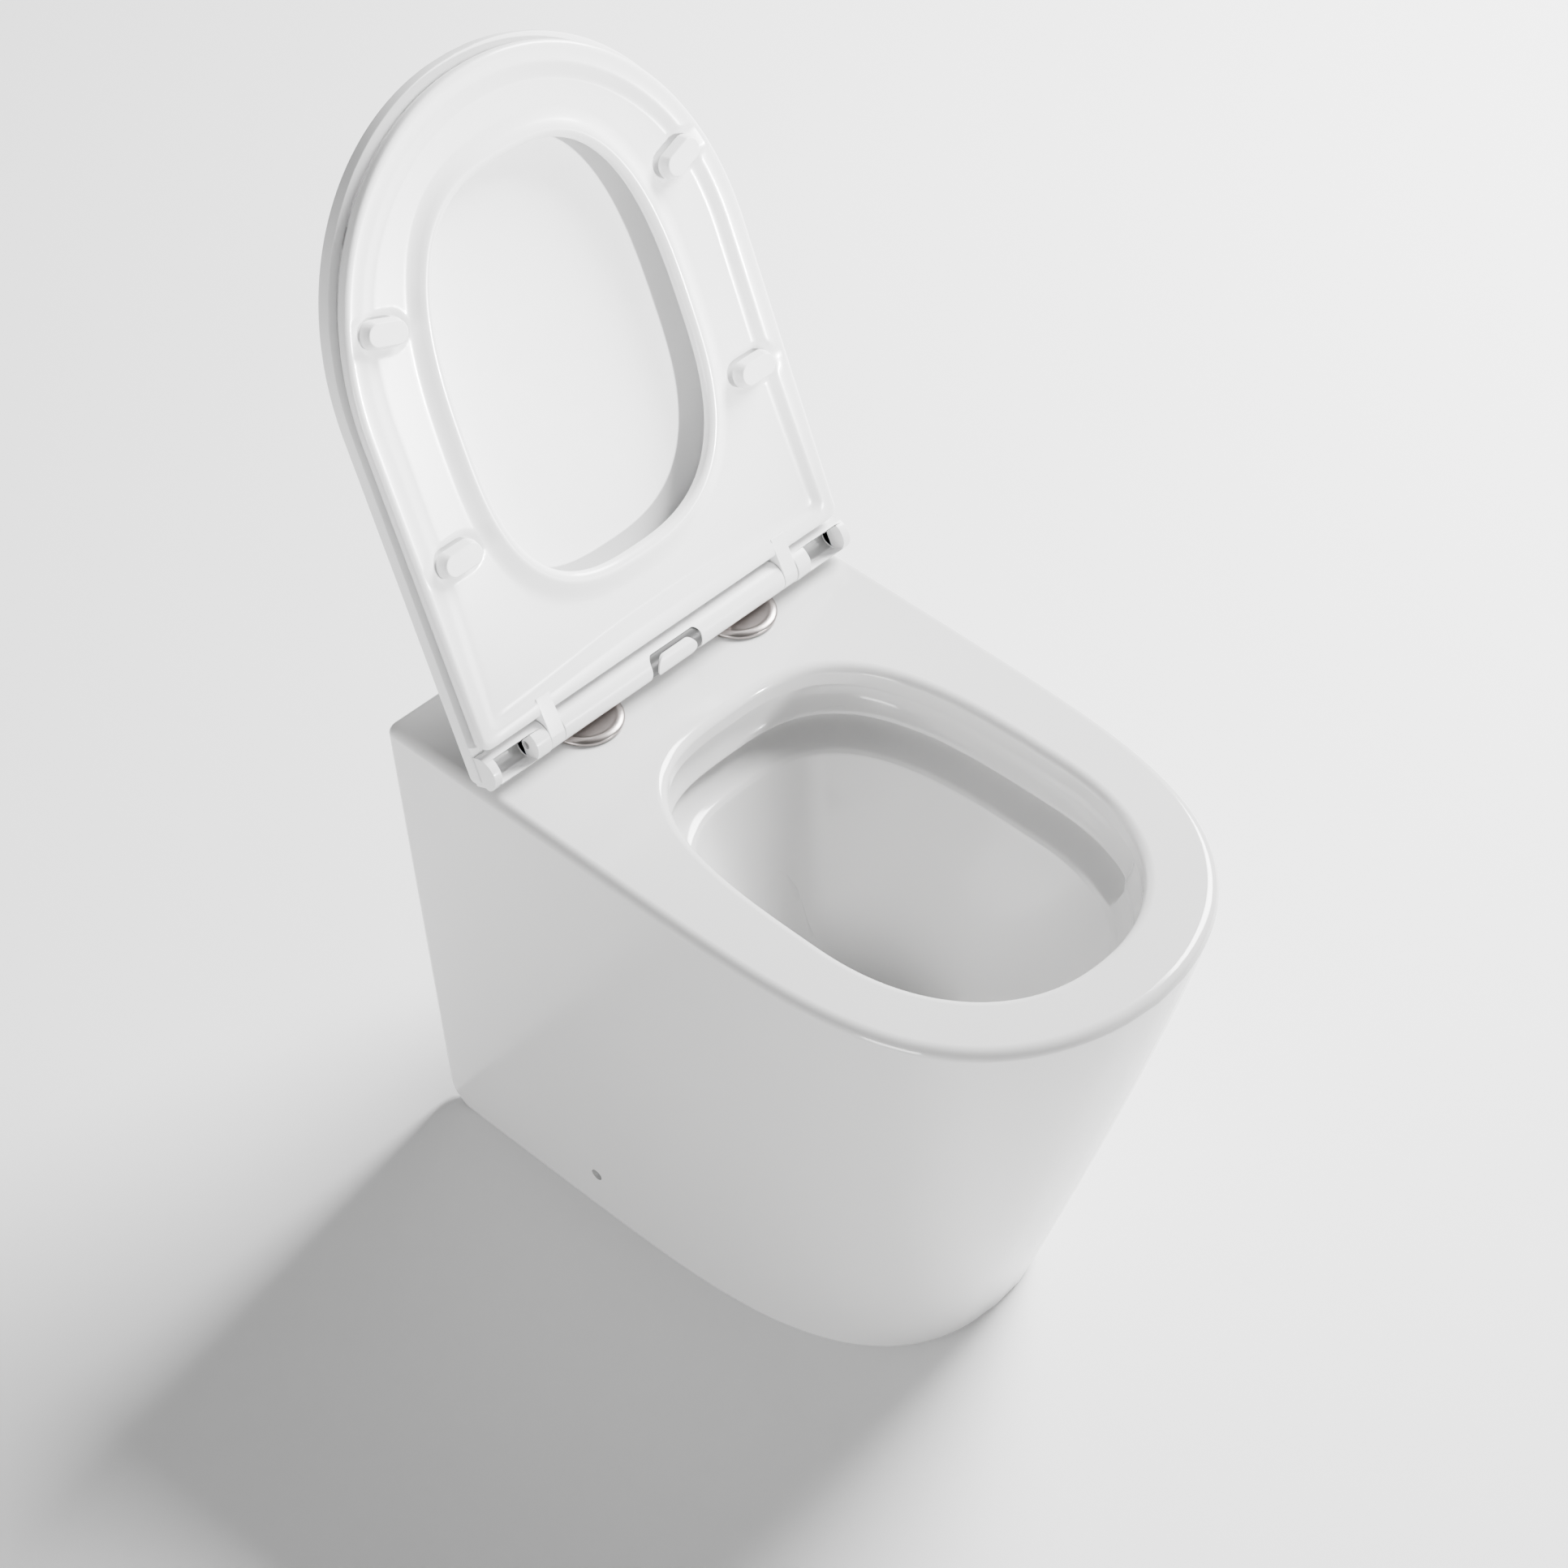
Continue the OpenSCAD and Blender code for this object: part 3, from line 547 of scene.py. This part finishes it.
def build_seat(mat):
    b, t = SEAT_BOT, SEAT_TOP
    # distance in from the outer edge (+) or from the opening (-), and height
    under = [(0.0, b + 4), (0.35, b + 2.2), (1.4, b + 0.7), (3.2, b), (6, b - 0.1), (13, b),
             (17, b + 0.9), (21, b + 2.6), (25, b + 3.5)]
    lip = [(-20, b + 3.3), (-16, b + 2.5), (-12, b + 0.6), (-9, b - 1.0), (-6, b - 1.5),
           (-3.4, b - 1.0), (-1.2, b + 0.6), (-0.2, b + 2.8), (0, b + 5)]
    over = [(-0.4, t - 5.2), (-2.2, t - 3.6), (-5, t - 2.2), (-9, t - 1.0), (-14, t - 0.3), (-19, t)]
    crown = [(9, t - 0.1), (4, t - 0.5), (1.5, t - 1.5), (0.4, t - 3), (0, t - 4.6)]
    rings = []
    for o, i in seat_stations(300):
        o, i = np.array(o), np.array(i)
        w = float(np.hypot(*(i - o)))
        d = (i - o) / w
        k = min(1.0, w / 60)
        field = [(lerp(25 * k, w - 20 * k, q / 14), lerp(b + 3.6, b + 3.4, q / 14)) for q in range(1, 14)]
        top = [(lerp(w - 19 * k, 9 * k, q / 6), t) for q in range(1, 6)]
        sec = [(u * k if u > 4 else u, z) for u, z in under] + field
        sec += [(w + u * (k if u < -4 else 1), z) for u, z in lip + over] + top
        sec += [(u, z) for u, z in crown]
        ring = []
        for u, z in sec:
            x, y = o + d * u
            if z < -2:
                for bx, by, turn, _ in BUFFERS:
                    near = stadium_distance(x - bx, y + by, 44, 26, turn)
                    z += 1.6 * ease(0.5 - near / 3.4)
            ring.append((x, y, z))
        rings.append(ring)
    seat = make("seat_ring", *band_data(rings), raised_place)
    smooth(seat, 60)
    dress(seat, mat, "seat_body", "seat_plastic", "seat")
    for s, name in ((-1, "seat_knuckle_l"), (1, "seat_knuckle_r")):
        prof = arc(BAR_R, -90, 180, 5)
        prof += [(-13, -2.0), (-20, -3.2), (-30, -3.4), (-30, b + 0.1), (-22, b - 0.2), (-12, b - 1.2)]
        rings = [[(x, y, z) for y, z in prof] for x in (s * KN_X, s * (KN_X + KN_W))]
        kn = make(name, *loft_data(rings), raised_place)
        bevel(kn, 0.7, 3)
        smooth(kn, 40)
        dress(kn, mat, "seat_body", "seat_plastic", "seat")


def stadium(length, width, n=48):
    half, r = (length - width) / 2, width / 2
    ring = []
    for k in range(n):
        c, s = math.cos(2 * math.pi * k / n), math.sin(2 * math.pi * k / n)
        x = 0.0 if abs(c) < 1e-6 else (half if c > 0 else -half) + r * c
        ring.append((x, r * s))
    return ring


def build_buffers(mat):
    # length, width and height of each ring, from inside the seat down to the sole
    levels = [(36.5, 20, SEAT_BOT + 1.8), (36.5, 20, SEAT_BOT - 0.6), (35.6, 19.2, SEAT_BOT - 1.5),
              (33.4, 17.2, SEAT_BOT - 4.9), (32.2, 16, SEAT_BOT - 6.4), (30.4, 14.4, SEAT_BOT - 6.9)]
    for x, y, turn, tag in BUFFERS:
        c, s = math.cos(math.radians(turn)), math.sin(math.radians(turn))
        rings = [[(x + px * c - py * s, -y + px * s + py * c, z) for px, py in stadium(length, width)]
                 for length, width, z in levels]
        ob = make("buffer_pad_" + tag, *loft_data(rings), raised_place)
        smooth(ob, 50)
        dress(ob, mat, "seat_body", "buffer", "buffer_" + tag)


# ---------------------------------------------------------------- lid
def lid_ring(inset, z, rear, n=90):
    return at_z(outline(LID_HW - inset, 255, LID_L - inset, 2.1, 2.05, n, rear, 7, 20, 8, 10), z)


def pocket(s):
    """Open pocket beside the pin ring at one end of the lid."""
    prof = arc(POCKET_R, 0, 180, 10) + [(-POCKET_R, -20), (POCKET_R, -20)]
    return loft_data([[(s * x, y, z) for y, z in prof] for x in (RING_X + RING_W, END_X - 7)])


def relief(s):
    """Room for one rosette under the raised lid's rear edge."""
    half = ROSETTE_R + 2
    x0, x1 = sorted((s * (HOLE_X - half), s * (HOLE_X + half)))
    return block(x0, x1, -108, -68, H - 30, H + 5.4)


def finish_lid(ob, mat):
    bevel(ob, 0.7, 2, 50)
    smooth(ob, 40)
    dress(ob, mat, "lid_body", "seat_plastic", "lid")


def build_lid(mat):
    rows = []
    for inset, z, rear in ((30, LID_TOP - 5.2, 44), (18, LID_TOP - 5.4, 31), (14, LID_TOP - 6.2, 27),
                           (11.4, LID_TOP - 7.6, 24.4), (10, LID_TOP - 9.4, 23), (9.2, LID_RIM + 2.4, 22.2),
                           (8.6, LID_RIM + 1.0, 21.6), (7.6, LID_RIM + 0.25, 20.6), (6.2, LID_RIM, 19.2)):
        rows.append(lid_ring(inset, z, rear))
    for inset, z, rear in ((1.6, LID_RIM, -9.4), (0.5, LID_RIM + 0.35, -10.5), (0, LID_RIM + 1.4, -11)):
        rows.append(lid_ring(inset, z, rear))
    rows.append(lid_ring(0, LID_TOP - 5, -11))
    for k in range(1, 9):
        q = math.pi / 2 * k / 8
        g = 5 * (1 - math.cos(q))
        rows.append(lid_ring(g, LID_TOP - 5 + 5 * math.sin(q), -11 + g))
    shell = make("lid_shell", *loft_data(rows), raised_place)
    over_bar = block(-RING_X, RING_X, -21, 19, -24, BAR_R + 1)
    carve(shell, make("cut_bar", *over_bar, raised_place))
    for s in (-1, 1):
        carve(shell, make("cut_pocket", *pocket(s), raised_place))
        carve(shell, make("cut_relief", *relief(s), pan_place))
    finish_lid(shell, mat)
    # the two ends that hold the hinge pins, each with its ring and its open pocket
    for s, name in ((-1, "lid_ring_l"), (1, "lid_ring_r")):
        prof = arc(RING_R, -180, -5, 5)
        prof += [(10.9, 2), (10.9, LID_TOP - 5.5), (-RING_R, LID_TOP - 5.5)]
        rings = [[(s * x, y, z) for y, z in prof] for x in (RING_X, END_X)]
        boss = make(name, *loft_data(rings), raised_place)
        carve(boss, make("cut_pocket", *pocket(s), raised_place))
        pin_hole = cylinder(0, (0, 0), PIN_BORE_R, s * (RING_X - 1), s * (RING_X + RING_W + 1), 32)
        carve(boss, make("cut_pin", *pin_hole, raised_place))
        carve(boss, make("cut_relief", *relief(s), pan_place))
        finish_lid(boss, mat)


# ---------------------------------------------------------------- hinge
def pill_ring(grow, y, n=48):
    hl, r = 10.4, 8.6 + grow
    out = []
    for k in range(n):
        t = 2 * math.pi * (k + 0.5) / n
        out.append((math.copysign(hl, math.cos(t)) + r * math.cos(t), y, r * math.sin(t)))
    return out


def window_ring(shy, y, n=48):
    x1, z0, z1, r = 25 - shy, -10.5 + shy, 11.4 - shy, 5 - shy
    out = []
    for k in range(n):
        t = 2 * math.pi * (k + 0.5) / n
        cx = math.copysign(x1 - r, math.cos(t))
        cz = z1 - r if math.sin(t) > 0 else z0 + r
        out.append((cx + r * math.cos(t), y, cz + r * math.sin(t)))
    return out


def build_bar(plastic, grey):
    prof = [(0, -BAR_HL), (BAR_R - 0.8, -BAR_HL), (BAR_R - 0.2, -BAR_HL + 0.25), (BAR_R, -BAR_HL + 0.9),
            (BAR_R, BAR_HL - 0.9), (BAR_R - 0.2, BAR_HL - 0.25), (BAR_R - 0.8, BAR_HL), (0, BAR_HL)]
    bar = make("bar_sleeve", *lathe(prof, 128, 0), hinge_place)
    carve(bar, make("cut_window", *loft_data([window_ring(0, -16), window_ring(0, -3)]), hinge_place))
    for s in (-1, 1):
        carve(bar, make("cut_stud", *cylinder(2, (s * STUD_X, 0), 4.06, -16, 4, 40), hinge_place))
    bevel(bar, 0.45, 3, 50)
    smooth(bar, 40)
    dress(bar, plastic, "pan_body", "seat_plastic", "hinge_bar")
    # the release surround takes the darkened grey, whose painted shade stands for the shade in the window
    # round the button
    shell = front_piece("release_surround", BAR_R - 0.9, window_ring, 0.05, -4.5)
    carve(shell, make("cut_pill", *loft_data([pill_ring(0.25, -16), pill_ring(0.25, -3)]), hinge_place))
    bevel(shell, 0.5, 3, 50)
    smooth(shell, 40)
    dress(shell, grey, "pan_body", "grey_plastic", "release_frame")
    button = front_piece("release_cap", BAR_R + 0.5, pill_ring, 0, -7.7)
    bevel(button, 0.6, 3, 50)
    smooth(button, 40)
    dress(button, plastic, "button_body", "seat_plastic", "release_button")


def front_piece(name, r, ring, shy, rear):
    """The part of a short roller that lies within an outline on the bar's front."""
    ob = make(name, *lathe([(0, -26), (r, -26), (r, 26), (0, 26)], 128, 0), hinge_place)
    return carve(ob, make("keep", *loft_data([ring(shy, -14), ring(shy, rear)]), hinge_place),
                 "INTERSECT")


def build_rosettes(mat):
    prof = [(0, 0.8), (28.4, 0.8), (29, 1.3), (29, 2.6), (28.7, 3.4), (27.6, 4.3), (26, 4.9), (24.6, 5.05),
            (23.8, 4.95), (22.8, 4.4), (21, 3.8), (16, 3.5), (8, 3.2), (0, 3.2)]
    for s, tag in ((-1, "l"), (1, "r")):
        data = lathe(prof, 128, 2, (s * HOLE_X, -HOLE_Y, H))
        ob = make("rosette_disc_" + tag, *data, pan_place)
        for x, y, r, low in ((STUD_X, STUD_Y, 4.02, -2), (HOLE_X, HOLE_Y, 6.3, 3)):
            bore = cylinder(2, (s * x, -y), r, H + low, H + 9, 40)
            carve(ob, make("cut", *bore, pan_place))
        smooth(ob, 40)
        dress(ob, mat, "pan_body", "hinge_steel", "rosette_" + tag)


# ---------------------------------------------------------------- materials
def material(name, light, dark, rough, metal=0.0, bump=0.02, scale=30.0, coat=0.0, patch=5.0):
    """Two close tones in soft patches, uneven gloss and a fine surface ripple."""
    mat = bpy.data.materials.new(name)
    mat.use_nodes = True
    nt = mat.node_tree
    nodes, links = nt.nodes, nt.links
    bsdf = nodes["Principled BSDF"]
    co = nodes.new("ShaderNodeTexCoord")
    tone = nodes.new("ShaderNodeTexNoise")
    tone.inputs["Scale"].default_value = patch
    tone.inputs["Detail"].default_value = 3
    links.new(co.outputs["Object"], tone.inputs["Vector"])
    ramp = nodes.new("ShaderNodeValToRGB")
    ramp.color_ramp.elements[0].position, ramp.color_ramp.elements[1].position = 0.35, 0.65
    ramp.color_ramp.elements[0].color = (*dark, 1)
    ramp.color_ramp.elements[1].color = (*light, 1)
    links.new(tone.outputs["Fac"], ramp.inputs["Fac"])
    links.new(ramp.outputs["Color"], bsdf.inputs["Base Color"])
    fine = nodes.new("ShaderNodeTexNoise")
    fine.inputs["Scale"].default_value = scale
    fine.inputs["Detail"].default_value = 2
    links.new(co.outputs["Object"], fine.inputs["Vector"])
    span = nodes.new("ShaderNodeMapRange")
    span.inputs["To Min"].default_value, span.inputs["To Max"].default_value = rough
    links.new(fine.outputs["Fac"], span.inputs["Value"])
    links.new(span.outputs["Result"], bsdf.inputs["Roughness"])
    bp = nodes.new("ShaderNodeBump")
    bp.inputs["Strength"].default_value = bump
    bp.inputs["Distance"].default_value = 0.001
    links.new(fine.outputs["Fac"], bp.inputs["Height"])
    links.new(bp.outputs["Normal"], bsdf.inputs["Normal"])
    bsdf.inputs["Metallic"].default_value = metal
    bsdf.inputs["Coat Weight"].default_value = coat
    bsdf.inputs["Coat Roughness"].default_value = 0.04
    return mat


def build_materials():
    return {
        "china": material("glazed_china", (0.70, 0.698, 0.695), (0.685, 0.683, 0.68), (0.10, 0.14),
                          bump=0.03, scale=55, coat=0.3),
        "plastic": material("white_moulding", (0.88, 0.88, 0.88), (0.865, 0.865, 0.865), (0.2, 0.26),
                            bump=0.02, scale=90, coat=0.1, patch=8),
        "steel": material("satin_steel", (0.34, 0.31, 0.3), (0.3, 0.272, 0.262), (0.28, 0.38),
                          metal=1.0, bump=0.04, scale=600, patch=60),
        "spring": material("plain_steel", (0.55, 0.55, 0.55), (0.48, 0.48, 0.48), (0.25, 0.35),
                           metal=1.0, bump=0.03, scale=500, patch=60),
        # grey moulding set near black, darker than the part's own grey: partly its real grey, partly painted
        # shade for the deep shade inside the release button's window
        "grey": material("grey_moulding", (0.05, 0.05, 0.05), (0.042, 0.042, 0.042), (0.35, 0.45),
                         bump=0.05, scale=700, patch=60),
        "rubber": material("black_rubber", (0.03, 0.03, 0.03), (0.022, 0.022, 0.022), (0.55, 0.7),
                           bump=0.1, scale=500, patch=60),
        "gasket": material("pale_gasket", (0.7, 0.7, 0.7), (0.66, 0.66, 0.66), (0.5, 0.6),
                           bump=0.06, scale=400, patch=60),
        "buffer": material("white_buffer", (0.82, 0.82, 0.82), (0.79, 0.79, 0.79), (0.4, 0.5),
                           bump=0.04, scale=400, patch=50),
        "brass": material("plated_brass", (0.72, 0.56, 0.28), (0.64, 0.49, 0.24), (0.25, 0.4),
                          metal=1.0, bump=0.05, scale=400, patch=60),
    }


# grey_plastic nodes get the same darkened grey, partly real colour and partly painted shade
CARRIED = {"china": "china", "seat_plastic": "plastic", "hinge_steel": "steel", "spring_steel": "spring",
           "grey_plastic": "grey", "buffer": "buffer", "gasket": "gasket", "rubber": "rubber",
           "brass": "brass"}


def dress_carried(mats):
    """Gives every CAD node that stays its own finish."""
    slots = {s["node"]: s["material_slot"] for s in frame["record"]["subparts"]}
    for name, ob in frame["nodes"].items():
        ob.data.materials.clear()
        ob.data.materials.append(mats[CARRIED[slots[name]]])


# ---------------------------------------------------------------- camera and light
def build_camera():
    az, el, roll = (math.radians(v) for v in (CAM_AZ, CAM_EL, CAM_ROLL))
    back = Vector((math.sin(az) * math.cos(el), -math.cos(az) * math.cos(el), math.sin(el)))
    right = (-back).cross(Vector((0, 0, 1))).normalized()
    up = right.cross(-back)
    cx = right * math.cos(roll) + up * math.sin(roll)
    cy = up * math.cos(roll) - right * math.sin(roll)
    cam = bpy.data.cameras.new("camera")
    cam.sensor_width, cam.lens = 36.0, CAM_LENS
    cam.clip_start, cam.clip_end = 0.05, 50
    ob = bpy.data.objects.new("camera", cam)
    m = Matrix((cx, cy, back)).transposed().to_4x4()
    m.translation = Vector(CAM_AIM) + back * CAM_DIST
    ob.matrix_world = m
    bpy.context.scene.collection.objects.link(ob)
    bpy.context.scene.camera = ob


def place_light(name, data, place, aim):
    ob = bpy.data.objects.new(name, data)
    ob.location = place
    ob.rotation_mode = "QUATERNION"
    ob.rotation_quaternion = (Vector(aim) - Vector(place)).to_track_quat("-Z", "Y")
    bpy.context.scene.collection.objects.link(ob)


def build_stage():
    world = bpy.data.worlds.new("studio")
    world.use_nodes = True
    sky = world.node_tree.nodes["Background"].inputs
    sky["Color"].default_value, sky["Strength"].default_value = (1, 1, 1, 1), SKY
    bpy.context.scene.world = world
    me = bpy.data.meshes.new("floor")
    r = FLOOR_HALF
    me.from_pydata([(-r, -r, 0), (r, -r, 0), (r, r, 0), (-r, r, 0)], [], [(0, 1, 2, 3)])
    floor = bpy.data.objects.new("floor", me)
    bpy.context.scene.collection.objects.link(floor)
    floor.data.materials.append(material("pale_floor", (0.93, 0.93, 0.93), (0.92, 0.92, 0.92), (0.7, 0.8),
                                         bump=0.0, scale=20, patch=2))
    for name, place, aim, size, watts in LIGHTS:
        data = bpy.data.lights.new(name, "AREA")
        data.shape, data.size, data.size_y, data.energy = "RECTANGLE", size, size, watts
        place_light(name, data, place, aim)
    beam = bpy.data.lights.new("lid_beam", "SPOT")
    beam.energy, beam.spot_size, beam.spot_blend = BEAM_POWER, math.radians(BEAM_DEG), 0.5
    beam.shadow_soft_size = 0.12
    place_light("lid_beam", beam, BEAM_PLACE, BEAM_AIM)


build_camera()
build_stage()
MATS = build_materials()
dress_carried(MATS)
build_pan(MATS["china"])
build_seat(MATS["plastic"])
build_buffers(MATS["buffer"])
build_lid(MATS["plastic"])
build_bar(MATS["plastic"], MATS["grey"])
build_rosettes(MATS["steel"])
